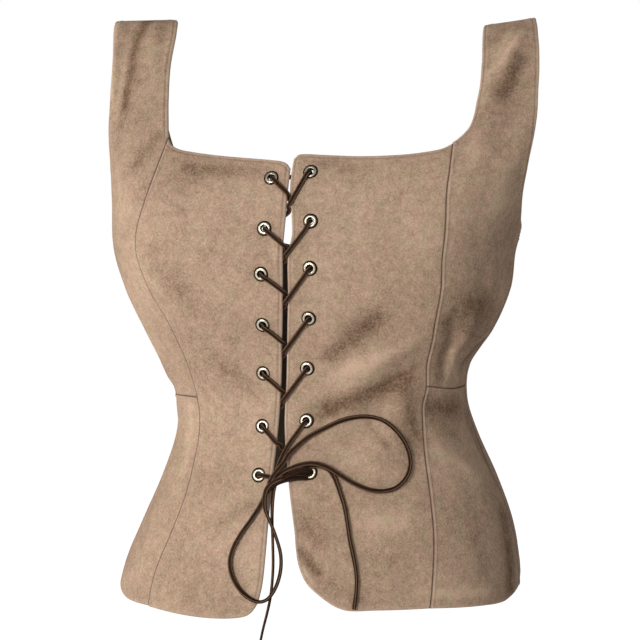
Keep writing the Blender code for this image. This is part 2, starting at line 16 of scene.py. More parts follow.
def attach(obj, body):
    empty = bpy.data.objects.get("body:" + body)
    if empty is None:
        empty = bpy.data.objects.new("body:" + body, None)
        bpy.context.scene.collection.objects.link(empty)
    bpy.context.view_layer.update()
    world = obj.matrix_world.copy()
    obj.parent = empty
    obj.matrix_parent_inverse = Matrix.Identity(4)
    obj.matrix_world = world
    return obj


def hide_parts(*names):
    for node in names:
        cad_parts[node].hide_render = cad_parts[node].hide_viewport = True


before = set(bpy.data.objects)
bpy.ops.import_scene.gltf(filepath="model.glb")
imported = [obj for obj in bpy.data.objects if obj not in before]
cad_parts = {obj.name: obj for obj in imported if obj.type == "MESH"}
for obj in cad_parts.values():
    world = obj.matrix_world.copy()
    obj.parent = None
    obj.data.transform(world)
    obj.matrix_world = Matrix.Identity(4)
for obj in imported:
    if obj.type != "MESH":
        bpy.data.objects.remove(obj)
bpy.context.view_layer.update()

# Centre fronts: the two laced panels of soft tan suede, from the front edge to the princess seam. They are
# cut on the vest's form, a stack of rounded sections, and their free edges are turned in and rubbed round.
# Seven holes for the eyelets are punched down each front edge.
MM = 0.001
SUEDE_THICKNESS = 2.0
SEAM_LAP = 0.1
# The princess seam stands high at the centre on the left, and at the side on the right
seam_at_centre = {-1: "seam_high", 1: "seam_low"}
seam_at_side = {-1: "seam_low", 1: "seam_high"}

# Drop, height, half width left, half width right, depth front, depth back, squareness
SECTIONS = (
    (-12, -2, 194, 203, -12, -12, 0.10),
    (0, 0, 194, 204, 0, 0, 0.10),
    (12, -2, 193, 206, 12, 12, 0.10),
    (28, -11, 192, 210, 25, 25, 0.10),
    (54, -35, 188, 216, 43, 42, 0.10),
    (83, -65, 185, 217, 60, 58, 0.10),
    (118, -100, 183, 210, 84, 76, 0.09),
    (148, -130, 182, 199, 102, 90, 0.07),
    (178, -160, 182, 186, 115, 99, 0.05),
    (218, -200, 182, 173, 121, 103, 0.035),
    (253, -235, 172, 167, 117, 100, 0.03),
    (288, -270, 154, 152, 107, 94, 0.03),
    (318, -300, 138, 132, 99, 90, 0.03),
    (348, -330, 126, 129, 96, 89, 0.03),
    (378, -360, 125, 138, 99, 94, 0.03),
    (418, -400, 138, 156, 108, 105, 0.03),
    (458, -440, 156, 170, 117, 115, 0.03),
    (498, -480, 173, 176, 124, 122, 0.03),
    (538, -520, 180, 176, 129, 127, 0.03),
    (578, -560, 183, 178, 132, 129, 0.03),
)

# Drop, how much lower the right shoulder hangs
RIGHT_SHOULDER_LOWER = ((0, 7), (28, 7), (54, 6), (83, 4), (118, 1.5), (148, 0), (578, 0))
# The right strap's top slants up outwards: sine of the angle from which it hangs fully lower, its share of
# that drop there, how fast the share falls outwards, and between which sines, counted from there
SLANT_FROM = 0.5
SLANT_SHARE = 1.6
SHOULDER_SLANT = 3.2
SLANT_SPAN = (-0.1, 0.4)

# Creases, soft ridges and troughs: angle and drop at each end, half width, lift
CREASES = (
    # In the solids too
    (19, 425, 40, 352, 14, 3.0), (16, 396, 36, 332, 9, -2.5), (15, 366, 32, 300, 12, 2.2),
    (42, 30, 36, 105, 9, 3.0), (50, 50, 44, 120, 10, -3.0), (-46, 20, -54, 110, 9, -3.0),
    (62, 262, 66, 322, 10, 2.5), (80, 230, 70, 300, 10, -2.5), (-60, 250, -66, 330, 12, 2.5),
    (-38, 150, -38, 240, 32, 5.0), (38, 150, 38, 240, 32, 5.0), (160, 280, 140, 352, 12, 2.5),
    (-156, 290, -136, 350, 12, 2.5),
    # Left strap
    (-41, 20, -47, 92, 7, -3.2), (-54, 20, -57, 84, 6, 1.6), (-35, 18, -34, 60, 5, 1.0),
    (-31, 122, -41, 152, 4, -1.6),
    # Right strap
    (46, 29, 35, 63, 3.6, 1.8), (33.5, 66, 33.5, 92, 4, 1.0), (44, 50, 40, 86, 7, -2.6),
    # Drag folds from the bow to the right waist
    (12, 282, 24, 254, 8, 1.2), (13, 307, 25, 278, 8, -2.0), (16, 326, 38, 297, 9, 2.2),
    (10, 354, 38, 329, 8, -3.4), (26, 364, 32, 384, 4, -1.0), (20, 392, 34, 402, 8, 1.2),
    (4, 468, 8, 486, 3.5, -1.4), (3, 474, 7, 494, 3, 0.8),
    # Right side panel, pulled in at the waist
    (62, 306, 74, 332, 3.2, 1.0), (53, 276, 64, 322, 7, -2.4), (79, 297, 88, 284, 3, 1.2),
    (80, 318, 90, 292, 6, -1.6), (64, 238, 60, 286, 9, -1.4), (54, 150, 60, 190, 12, 1.0),
    (54, 352, 74, 356, 8, -1.8), (54, 388, 72, 412, 8, 1.4), (84, 366, 90, 412, 8, -1.8),
    (98, 190, 98, 216, 20, -2.2), (80, 456, 78, 506, 9, -1.4),
    # Left front and its waist
    (-20, 300, -36, 342, 9, 1.2), (-14, 331, -27, 312, 8, -1.4), (-52, 318, -72, 345, 6, -1.4),
    (-50, 336, -74, 362, 6, 1.0), (-10, 433, -21, 450, 7, -1.3), (-36, 226, -30, 254, 10, -1.2),
    (-26, 200, -34, 262, 10, -0.6), (22, 176, 33, 214, 10, -0.6), (-24, 420, -30, 500, 12, 0.7),
    (24, 440, 30, 505, 10, 0.6), (60, 400, 66, 490, 10, -0.7), (-62, 410, -70, 490, 10, -0.7),
    # Back waist, shoulder blades and skirt
    (176, 318, 150, 346, 9, -0.9), (-174, 322, -148, 342, 8, -0.9), (172, 340, 140, 330, 7, 0.7),
    (-170, 345, -142, 334, 7, 0.7), (112, 214, 132, 268, 9, 0.9), (-108, 216, -130, 270, 9, 0.9),
    (104, 300, 120, 340, 7, -0.8), (-104, 300, -122, 338, 7, -0.8), (150, 380, 156, 430, 10, 0.6),
    (-146, 384, -152, 430, 10, 0.6),
)
CREASE_MM_PER_DEGREE = 2.5
# Drop and angle each way over which the form's slope is taken
SLOPE_DROP = 0.5
SLOPE_ANGLE = 0.2


def column(table, index):
    """Smooth curve through one column of a table, read by the table's first column."""
    keys = np.array([row[0] for row in table], float)
    values = np.array([row[index] for row in table], float)
    before = np.r_[0, np.arange(len(keys) - 1)]
    after = np.r_[np.arange(1, len(keys)), len(keys) - 1]
    slopes = (values[after] - values[before]) / (keys[after] - keys[before])

    def read(key):
        key = np.clip(key, keys[0], keys[-1])
        i = np.clip(np.searchsorted(keys, key) - 1, 0, len(keys) - 2)
        step = keys[i + 1] - keys[i]
        t = (key - keys[i]) / step
        ease = t * t * (3 - 2 * t)
        start = t * (1 - t) ** 2 * step * slopes[i]
        end = t * t * (1 - t) * step * slopes[i + 1]
        return values[i] + (values[i + 1] - values[i]) * ease + start - end

    return read


def sides(left, right):
    """Curves of the left and of the right side, from their tables."""
    return {-1: column(left, 1), 1: column(right, 1)}


section_height, left_width, right_width, front_depth, back_depth, squareness = (
    column(SECTIONS, index) for index in range(1, 7)
)
right_shoulder_lower = column(RIGHT_SHOULDER_LOWER, 1)


def form(angle, drop):
    """Points of the body form in millimetres, before the cloth's creases."""
    angle, drop = np.broadcast_arrays(np.asarray(angle, float), np.asarray(drop, float))
    turn = np.radians(angle)
    square = squareness(drop)
    across = (np.sin(turn) + square * np.sin(3 * turn)) / (1 - square)
    ahead = (np.cos(turn) - square * np.cos(3 * turn)) / (1 - square)
    width = np.where(across > 0, right_width(drop), left_width(drop))
    depth = np.where(ahead > 0, front_depth(drop), back_depth(drop))
    right_share = np.clip(np.sin(turn) / SLANT_FROM, 0, 1)
    slant = SHOULDER_SLANT * np.clip(np.sin(turn) - SLANT_FROM, *SLANT_SPAN)
    lower = right_shoulder_lower(drop) * (SLANT_SHARE - slant) * right_share**2 * (3 - 2 * right_share)
    return np.stack([across * width, -ahead * depth, section_height(drop) - lower], -1)


def outward(angle, drop):
    """Unit vectors that point out of the form."""
    along = form(angle, drop + SLOPE_DROP) - form(angle, drop - SLOPE_DROP)
    around = form(angle + SLOPE_ANGLE, drop) - form(angle - SLOPE_ANGLE, drop)
    out = np.cross(along, around)
    return out / np.linalg.norm(out, axis=-1, keepdims=True)


# Painted shade laid into the nap's colour, or painted light with a minus, along folds and shaded sides:
# angle, drop, angle, drop, half width, how much
PAINTED_SHADE_AND_LIGHT = (
    # Left strap and front
    (-39, 3, -47, 92, 8, 0.9), (-41, 70, -50, 130, 8, 0.3), (-33, 13, -33, 38, 5, 0.3),
    (-58, 3, -57, 85, 4, -0.6), (-30.5, 122, -40, 149, 4, 0.55), (-22.5, 151, -6, 154, 6, 0.5),
    (-35.5, 225, -30.5, 253, 13, 0.45), (-25, 313, -14.5, 331, 9, 0.35), (-47.5, 357, -45, 408, 9, -0.35),
    (-20, 449, -11.5, 433, 7, 0.4),
    # Right strap and chest
    (43, 53, 38, 84, 8, 0.85), (46, 29, 35, 63, 3.5, -0.5), (33.5, 66, 33.5, 92, 3.5, -0.4),
    (34.5, 36, 37.5, 23, 6, 0.4), (36, 128, 40, 149, 5, -0.4), (52, 148, 61, 181, 12, -0.35),
    (4, 146, 13.5, 151, 6, 0.45), (19, 182, 36, 209, 18, -0.3),
    # Right side panel and waist
    (54, 268, 82, 300, 20, 0.45), (50, 280, 60, 326, 10, 0.5), (60.5, 262, 90.5, 280, 11, 0.35),
    (80, 316, 95, 274, 7, 0.6), (61.5, 304, 76, 332, 2.5, -0.5), (78.5, 298, 97, 273, 2, -0.5),
    (100, 258, 102, 330, 14, 0.4), (14, 304, 24.5, 277, 9, 0.75), (18, 321, 39, 294, 8, -0.5),
    (12, 352, 39, 329, 8, 1.05), (43, 328, 44, 372, 11, 0.65),
    # Right skirt
    (54.5, 350, 76, 354, 10, 0.75), (56, 366, 66, 374, 8, 0.3), (86, 366, 88, 412, 11, 0.55),
    (53.5, 389, 72, 410, 8, -0.4), (82, 450, 79, 506, 13, 0.8), (58, 461, 60, 482, 8, 0.3),
    (40.5, 502, 62.5, 504, 4, -0.6), (26.5, 364, 31.5, 382, 3.5, 0.5), (4, 468, 8, 484, 3.5, 0.9),
    (3, 475, 7, 493, 2.5, -0.5), (2.5, 439, 9, 458, 9, 0.35), (10, 491, 18, 504, 8, 0.4),
    (21, 442, 30.5, 443, 9, -0.4),
    # Back
    (176, 318, 150, 346, 10, 0.22), (-174, 322, -148, 342, 10, 0.22), (112, 214, 132, 268, 12, -0.3),
    (-108, 216, -130, 270, 12, -0.3), (104, 300, 120, 340, 9, 0.25), (-104, 300, -122, 338, 9, 0.25),
)


def bands(table, angle, drop):
    """Sum of soft bands told by two ends, a half width and an amount."""
    here = np.stack([((angle + 180) % 360 - 180) * CREASE_MM_PER_DEGREE, drop], -1)
    total = np.zeros(here.shape[:-1])
    for angle_a, drop_a, angle_b, drop_b, half_width, amount in table:
        a = np.array([angle_a * CREASE_MM_PER_DEGREE, drop_a])
        b = np.array([angle_b * CREASE_MM_PER_DEGREE, drop_b])
        share = np.clip((here - a) @ (b - a) / ((b - a) @ (b - a)), 0, 1)[..., None]
        away = np.linalg.norm(here - (a + (b - a) * share), axis=-1)
        total += amount * np.exp(-((away / half_width) ** 2))
    return total


def cloth(angle, drop, lift=0.0):
    """Points in metres at a lift in millimetres from the middle of the suede."""
    angle, drop, lift = np.broadcast_arrays(*(np.asarray(a, float) for a in (angle, drop, lift)))
    out = (bands(CREASES, angle, drop) + lift)[..., None]
    return (form(angle, drop) + outward(angle, drop) * out) * MM


def degrees_for(length, angle, drop):
    """Angle that spans a short length round the form."""
    return length / np.linalg.norm(form(angle + 0.5, drop) - form(angle - 0.5, drop), axis=-1)


def moved(edge, length):
    """An edge moved round the form by a length, towards larger angles when it is positive."""
    return lambda drop: edge(drop) + degrees_for(length, edge(drop), drop)


# Lines that bound the centre fronts, left and then right: drop, angle
front_edge = sides((
    (140, 0.1), (187, 0.1), (213, -0.3), (259, -0.9), (320, -3.2), (366, -4.9), (411, -5.5), (464, -5.4),
    (484, -5.4), (497, -5.6), (509, -6.2),
), (
    (136, 0.6), (150, 0.4), (167, 0.5), (181, 1.1), (195, 1.5), (205, 1.7), (213, 1.3), (222, 0.8),
    (259, 0.4), (320, -1.6), (365, -2.7), (411, -0.3), (432, 0.9), (453, 2.1), (469, 2.7), (484, 3.9),
    (496, 6.0), (506, 9.6),
))
princess = sides((
    (125, -28), (140, -30.1), (157, -33), (181, -37.7), (202, -41.5), (222, -43.3), (245, -42.2),
    (280, -40.6), (310, -40.4), (345, -40.6), (390, -39.6), (429, -38.3), (461, -39.1), (492, -40.6),
    (523, -41.2),
), (
    (130, 31), (158, 35.1), (193, 40.2), (213, 42.2), (246, 43.6), (284, 45.8), (331, 53), (351, 50.5),
    (384, 46.5), (405, 44.4), (430, 42.8), (454, 41.6), (480, 40.3), (514, 38.9),
))
# Share of the way from front edge to princess seam, drop
neck = sides((
    (0, 150.5), (0.03, 146.3), (0.08, 144.2), (0.34, 141.3), (0.53, 139.3), (0.74, 136.5), (0.85, 134.6),
    (0.94, 131), (1, 125),
), (
    (0, 143), (0.02, 139.5), (0.06, 138.6), (0.16, 139.3), (0.38, 140.5), (0.63, 139.6), (0.8, 137.6),
    (0.92, 135), (1, 130.4),
))
hem_centre = sides(
    ((0, 511), (0.06, 521), (0.15, 525), (0.35, 527), (0.6, 526.5), (1, 523.5)),
    ((0, 506), (0.1, 512), (0.22, 515.5), (0.45, 515), (1, 514)),
)
side_names = {-1: "left", 1: "right"}

# How an edge is finished: depth and width of its rounding, place, depth and width of a pressed line, place,
# height and width of a ridge, how far the nap is rubbed pale, how dark its groove is painted as painted
# shade
FINISHES = {
    "turned": (1.6, 1.8, 2.9, 0.5, 0.6, 4.4, 0.3, 1.2, 0.9, 0.18),
    "hem": (1.6, 2.0, 14.5, 0.25, 0.9, 4.0, 0.2, 2.2, 0.7, 0.1),
    "seam_low": (1.1, 1.4, 0.0, 0.0, 0.9, 2.0, 0.0, 1.0, 0.2, 0.6),
    "seam_high": (1.4, 1.3, 0.0, 0.0, 0.9, 2.0, 0.7, 1.2, 0.8, 0.85),
}
# Distances from an edge over which rubbing and the grooves' painted shade fade
RUB_REACH = 1.6
GROOVE_SHADE_REACH = 0.8
# The reverse follows the rounding of an edge by this share, and at most so far
REVERSE_SHARE = 0.15
REVERSE_MOST = 0.25
# Distances from a finished edge at which the cloth has a row of points
EDGE_STEPS = (0, 0.3, 0.8, 1.4, 2.0, 2.5, 3.0, 3.6, 4.6, 6.0)
LAYOUT_ROUNDS = 5
POINTS_AT_ONCE = 2000
WELD = 0.0005
NO_LENGTH = 1e-9
# Height in the flat panel, 0 inside and 1 outside, under which it is the reverse
REVERSE_BELOW = 0.01


def stations(count, close_first, close_last):
    """Lengths kept from the first and the last edge, and share between, for count + 1 lines."""
    close = len(EDGE_STEPS) - 1
    head = close if close_first else 0
    tail = close if close_last else 0
    share = np.r_[np.zeros(head), np.linspace(0, 1, count - head - tail + 1), np.ones(tail)]
    kept = np.array(EDGE_STEPS + (EDGE_STEPS[-1],) * (count - close), float)
    return kept * close_first, kept[::-1] * close_last, share


def lay_out(columns, rows, first, last, top, bottom, finished):
    """Angles and drops of a grid between two edges and two lines, with close rows at the finished ones."""
    from_first, from_last, across_share = (
        line[None, :] for line in stations(columns, "first" in finished, "last" in finished)
    )
    from_top, from_bottom, down_share = (
        line[:, None] for line in stations(rows, "top" in finished, "bottom" in finished)
    )
    across = across_share + 0 * down_share
    for _ in range(LAYOUT_ROUNDS):
        drop = (top(across) + from_top) * (1 - down_share) + (bottom(across) - from_bottom) * down_share
        begin, end = first(drop), last(drop)
        toward = np.sign(end - begin)
        near_begin = begin + toward * degrees_for(from_first, begin, drop)
        near_end = end - toward * degrees_for(from_last, end, drop)
        angle = near_begin * (1 - across_share) + near_end * across_share
        across = np.clip((angle - begin) / (end - begin), 0, 1)
    return angle, drop


def level(value):
    """A line at one drop, or at one angle."""
    return lambda key: value + 0 * key


def distance_to(points, line):
    """Distance in millimetres from each point to a line of points."""
    a, b = line[:-1][None], line[1:][None]
    along = b - a
    nearest = np.empty(len(points))
    for start in range(0, len(points), POINTS_AT_ONCE):
        here = points[start:start + POINTS_AT_ONCE, None]
        share = np.clip(((here - a) * along).sum(-1) / ((along**2).sum(-1) + NO_LENGTH), 0, 1)[..., None]
        nearest[start:start + POINTS_AT_ONCE] = np.linalg.norm(here - (a + along * share), axis=-1).min(1)
    return nearest


def smooth(shape):
    """Normals outward and soft shading all over."""
    bmesh.ops.recalc_face_normals(shape, faces=shape.faces)
    for face in shape.faces:
        face.smooth = True


def new_object(name, shape, *materials):
    """An object in the scene from a finished mesh."""
    mesh = bpy.data.meshes.new(name)
    shape.to_mesh(mesh)
    shape.free()
    for material in materials:
        mesh.materials.append(material)
    made = bpy.data.objects.new(name, mesh)
    bpy.context.scene.collection.objects.link(made)
    return made


def ripple(away, at, width):
    """Height of a soft line at a distance from an edge."""
    return np.exp(-(((away - at) / width) ** 2))


def sew_panel(name, grids, edges, replaced):
    """A panel of suede from flat grids of angle and drop: thickened, laid on the form, edges finished."""
    flat = bmesh.new()
    for angle, drop in grids:
        rows, columns = angle.shape[0] - 1, angle.shape[1] - 1
        made = bmesh.ops.create_grid(flat, x_segments=columns, y_segments=rows, size=0.5)
        for vert in made["verts"]:
            i, j = round((0.5 - vert.co.y) * rows), round((vert.co.x + 0.5) * columns)
            vert.co = (angle[i, j], -drop[i, j], 0)
    bmesh.ops.remove_doubles(flat, verts=flat.verts, dist=WELD)
    outside = bmesh.ops.extrude_face_region(flat, geom=flat.faces[:])["geom"]
    lifted = [g for g in outside if isinstance(g, bmesh.types.BMVert)]
    bmesh.ops.translate(flat, verts=lifted, vec=(0, 0, 1))
    smooth(flat)
    for face in flat.faces:
        face.material_index = int(face.calc_center_median().z < REVERSE_BELOW)
    panel = new_object(name, flat, suede, suede_reverse)
    mesh = panel.data
    places = np.empty(len(mesh.vertices) * 3)
    mesh.vertices.foreach_get("co", places)
    angle, drop, face = places.reshape(-1, 3).T
    drop = -drop
    points = form(angle, drop)
    fall, relief, rub, groove_shade = np.zeros((4, len(points)))
    for finish, line_angle, line_drop in edges:
        deep, width, line_at, line_deep, line_wide, at, high, wide, rubbed, groove_shaded = FINISHES[finish]
        away = distance_to(points, form(line_angle, line_drop))
        near = np.clip(1 - away / width, 0, 1)
        fall = np.maximum(fall, deep * (1 - np.sqrt(1 - near**2)))
        relief += high * ripple(away, at, wide) - line_deep * ripple(away, line_at, line_wide)
        rub = np.maximum(rub, rubbed * np.exp(-away / RUB_REACH))
        # Painted shade along each seam and pressed line, where its groove lies
        groove_shade = np.maximum(groove_shade, groove_shaded * ripple(away, line_at, GROOVE_SHADE_REACH))
    half = SUEDE_THICKNESS / 2
    reverse = -half + np.minimum(fall * REVERSE_SHARE, REVERSE_MOST)
    lift = np.where(face > REVERSE_BELOW, half + relief - fall, reverse)
    mesh.vertices.foreach_set("co", cloth(angle, drop, lift).ravel())
    # Kept at the points: rubbed paleness, the grooves' painted shade, and the painted shade and light along
    # folds
    for kept, values in (("rub", rub), ("groove_shade", groove_shade), ("painted_shade_and_light", bands(PAINTED_SHADE_AND_LIGHT, angle, drop))):
        mesh.attributes.new(kept, "FLOAT", "POINT").data.foreach_set("value", values)
    mesh.update()
    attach(panel, "root")
    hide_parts(replaced)
    return panel


def feed(socket, value):
    """Give a shader input a constant, or link another node's output to it."""
    if isinstance(value, bpy.types.NodeSocket):
        socket.id_data.links.new(value, socket)
    else:
        socket.default_value = value


def settle(made, **values):
    """Set a shader node, its inputs given by their names with _ for a space."""
    for name, value in values.items():
        if name in made.bl_rna.properties:
            setattr(made, name, value)
        else:
            feed(made.inputs[name.replace("_", " ")], value)
    return made


def node(tree, kind, **values):
    """A new shader node, set."""
    return settle(tree.nodes.new(kind), **values)


def noise(tree, scale, detail, roughness=0.5):
    """Noise fixed to the object."""
    place = node(tree, "ShaderNodeTexCoord").outputs["Object"]
    return node(tree, "ShaderNodeTexNoise", Vector=place, Scale=scale, Detail=detail,
                Roughness=roughness).outputs["Fac"]


def kept_value(tree, name):
    """A value that the mesh keeps at its points."""
    return node(tree, "ShaderNodeAttribute", attribute_name=name).outputs["Fac"]


def ranged(tree, value, **ends):
    """A value brought from one range to another."""
    return node(tree, "ShaderNodeMapRange", Value=value, **ends).outputs["Result"]


def blend(tree, factor, first, second):
    """Two colours mixed."""
    return node(tree, "ShaderNodeMix", data_type="RGBA", Factor=factor, A=first, B=second).outputs["Result"]


def times_plus(tree, *terms):
    """First term times the second, plus the third."""
    made = node(tree, "ShaderNodeMath", operation="MULTIPLY_ADD")
    for socket, term in zip(made.inputs, terms):
        feed(socket, term)
    return made.outputs["Value"]


def new_material(name):
    """A material, its node tree and its surface shader."""
    material = bpy.data.materials.new(name)
    material.use_nodes = True
    return material, material.node_tree, material.node_tree.nodes["Principled BSDF"]


# Pale nap, dark nap for both the random tone and the painted shade, cooler patches, rubbed edges, painted
# groove shade
NAP_COLOURS = ("Light", "Dark", "Cool", "Rubbed", "Groove_shade")
TAN_COLOURS = (
    (0.58, 0.392, 0.28), (0.145, 0.083, 0.047), (0.53, 0.395, 0.262), (0.56, 0.41, 0.31),
    (0.055, 0.026, 0.014),
)
# The reverse is dark brown, partly painted shade for the hollow inside of the vest
REVERSE_COLOURS = (
    (0.12, 0.083, 0.06), (0.06, 0.04, 0.03), (0.11, 0.08, 0.056), (0.2, 0.14, 0.1), (0.05, 0.03, 0.02),
)


def nap_group():
    """Suede nap: soft mottling, patches of painted shade and light, and fine grain, as a colour, a height
    and a roughness.
    """
    tree = bpy.data.node_groups.new("suede_nap", "ShaderNodeTree")
    for socket in NAP_COLOURS:
        tree.interface.new_socket(socket, in_out="INPUT", socket_type="NodeSocketColor")
    tree.interface.new_socket("Colour", in_out="OUTPUT", socket_type="NodeSocketColor")
    for socket in ("Height", "Roughness"):
        tree.interface.new_socket(socket, in_out="OUTPUT", socket_type="NodeSocketFloat")
    given = tree.nodes.new("NodeGroupInput").outputs
    patches = noise(tree, 17.0, 3.0)
    mottle = noise(tree, 150.0, 4.0, 0.6)
    speckle = noise(tree, 620.0, 2.0, 0.7)
    tint = noise(tree, 90.0, 3.0, 0.6)
    # Painted shade and light along folds and shaded sides, kept at the mesh's points
    painted_shade_and_light = kept_value(tree, "painted_shade_and_light")
    shade = ranged(tree, painted_shade_and_light, From_Min=-1.0, From_Max=1.0, To_Min=-0.25, To_Max=0.95)
    for texture, share in ((patches, 0.3), (mottle, 0.28), (speckle, 0.5)):
        part = ranged(tree, texture, From_Min=0.3, From_Max=0.7, To_Min=-share / 2, To_Max=share / 2)
        shade = times_plus(tree, part, 1.0, shade)
    cool = ranged(tree, tint, From_Min=0.42, From_Max=0.66)
    colour = blend(tree, cool, given["Light"], given["Cool"])
    # The dark nap takes the random tone and the painted shade; rubbed edges pale it; grooves take painted
    # shade
    for factor, other in ((shade, "Dark"), (kept_value(tree, "rub"), "Rubbed"),
                          (kept_value(tree, "groove_shade"), "Groove_shade")):
        colour = blend(tree, factor, colour, given[other])
    height = times_plus(tree, mottle, 1.2, speckle)
    roughness = ranged(tree, speckle, To_Min=0.82, To_Max=0.98)
    node(tree, "NodeGroupOutput", Colour=colour, Height=height, Roughness=roughness)
    return tree


def suede_finish(name, colours, bump, sheen):
    """Suede in its five colours, with the nap's relief and a faint sheen."""
    material, tree, shader = new_material(name)
    group = tree.nodes.new("ShaderNodeGroup")
    group.node_tree = nap
    for socket, value in zip(NAP_COLOURS, colours):
        group.inputs[socket].default_value = (*value, 1)
    relief = node(tree, "ShaderNodeBump", Strength=bump, Distance=0.0006, Height=group.outputs["Height"])
    settle(shader, Base_Color=group.outputs["Colour"], Roughness=group.outputs["Roughness"],
           Normal=relief.outputs["Normal"], Specular_IOR_Level=0.12, Sheen_Weight=sheen,
           Sheen_Roughness=0.5, Sheen_Tint=(1.0, 0.86, 0.72, 1))
    return material


nap = nap_group()
suede = suede_finish("tan_suede", TAN_COLOURS, 0.45, 0.05)
# Its dark colours stand partly for painted shade inside the vest
suede_reverse = suede_finish("suede_reverse", REVERSE_COLOURS, 0.3, 0.04)


def border(grid, which, low=-math.inf, high=math.inf):
    """Angles and drops of one border of a grid, between two drops."""
    angle, drop = grid
    pick = {"top": np.s_[0, :], "bottom": np.s_[-1, :], "first": np.s_[:, 0], "last": np.s_[:, -1]}[which]
    kept = (drop[pick] >= low) & (drop[pick] <= high)
    return angle[pick][kept], drop[pick][kept]


def trimmed(grid, **finishes):
    """Finishes of a grid's borders, each with its line of angles and drops."""
    return [(finish, *border(grid, which)) for which, finish in finishes.items()]


ALL_ROUND = ("first", "last", "top", "bottom")
CENTRE_COLUMNS = 54
CENTRE_ROWS = 136
BARREL_RADIUS = 3.1
PUNCH_SIDES = 24
PUNCH_LENGTH = 8.0
# Drop and angle each way of the cloth that an eyelet lies flat on
SEAT_DROP = 3
SEAT_ANGLE = 1
# Eyelets from the neckline down: distance from the front edge, drop
eyelets = {
    -1: ((15.8, 159), (17, 200.5), (18.5, 238), (17, 280.5), (15.8, 322), (13.7, 367), (12.3, 407.5)),
    1: ((16.5, 154), (16.2, 194.5), (19.3, 233), (18.5, 274.5), (18.5, 317), (18.4, 361.5), (17.6, 404)),
}
EYELET_ROWS = len(eyelets[1])


def eyelet_place(side, row):
    """Angle and drop of an eyelet's axis."""
    from_edge, drop = eyelets[side][row]
    return float(moved(front_edge[side], side * from_edge)(drop)), drop


def frame_at(angle, drop):
    """Turn and place that bring +Z to the outward direction of the creased cloth at a place."""
    along = Vector(cloth(angle, drop + SEAT_DROP) - cloth(angle, drop - SEAT_DROP))
    around = Vector(cloth(angle + SEAT_ANGLE, drop) - cloth(angle - SEAT_ANGLE, drop))
    turn = along.cross(around).to_track_quat("Z", "Y").to_matrix().to_4x4()
    return Matrix.Translation(Vector(cloth(angle, drop))) @ turn


def punch_holes(panel, side):
    """Cut the eyelets' holes through a panel."""
    shape = bmesh.new()
    for row in range(EYELET_ROWS):
        bmesh.ops.create_cone(shape, cap_ends=True, segments=PUNCH_SIDES, radius1=BARREL_RADIUS * MM,
                              radius2=BARREL_RADIUS * MM, depth=PUNCH_LENGTH * MM,
                              matrix=frame_at(*eyelet_place(side, row)))
    punch = new_object("punch", shape)
    cut = panel.modifiers.new("holes", "BOOLEAN")
    cut.operation = "DIFFERENCE"
    cut.solver = "EXACT"
    cut.object = punch
    bpy.context.view_layer.update()
    holed = bpy.data.meshes.new_from_object(panel.evaluated_get(bpy.context.evaluated_depsgraph_get()))
    panel.modifiers.remove(cut)
    panel.data = holed
    bpy.data.objects.remove(punch)


for side, name in side_names.items():
    grid = lay_out(CENTRE_COLUMNS, CENTRE_ROWS, front_edge[side], moved(princess[side], side * SEAM_LAP),
                   neck[side], hem_centre[side], ALL_ROUND)
    edges = trimmed(grid, first="turned", last=seam_at_centre[side], top="turned", bottom="hem")
    panel = sew_panel("suede_centre_" + name, [grid], edges, "front_centre_" + name)
    punch_holes(panel, side)

# Side fronts: each is cut in one with its shoulder strap and ends at the short waist seam. The strap and
# armhole edges are turned, and the princess seam is pressed towards the side, which leaves a low ridge.

# Drop, angle
strap_inner = sides((
    (0, -30.5), (12, -29.3), (31, -28.6), (60, -29.2), (90, -28.8), (111, -28.2), (125, -28),
), (
    (0, 33), (38, 32), (62, 31.6), (83, 31.5), (93, 31.8), (104, 32.4), (113, 32.7), (119, 32.4),
    (125, 31.7), (131, 30.6),
))
armhole = sides((
    (0, -62), (30, -60), (60, -60), (90, -63), (120, -68), (150, -73), (176, -77), (190, -80),
    (199, -83.5), (204, -87), (206, -90),
), (
    (0, 53.5), (20, 53), (40, 52), (61, 51.4), (83, 51.7), (115, 57.3), (135, 62.3), (158, 69.4),
    (176, 76), (190, 82), (199, 86.3), (204, 88.6), (206, 90),
))
# Share of the way from princess seam to side seam, drop
waist = sides(
    ((0, 345), (0.5, 345), (1, 343)),
    ((0, 333), (0.5, 337), (1, 337)),
)
UNDERARM_DROP = 206
SIDE_SEAM = 90.0
WAIST_DROP = 345.0
# Drop at which a panel widens from its shoulder strap to run under the arm
STRAP_FOOT = 148.0
STRAP_COLUMNS = 40
STRAP_ROWS = 56
ARMHOLE_POINTS = 60
UNDERARM_COLUMNS = 18
UPPER_ROWS = 78


def strap_and_seam(side):
    """Strap's inner edge above the neckline corner, princess seam below it."""
    corner = neck[side](1)
    seam = moved(princess[side], -side * SEAM_LAP)
    return lambda drop: np.where(drop < corner, strap_inner[side](drop), seam(drop))


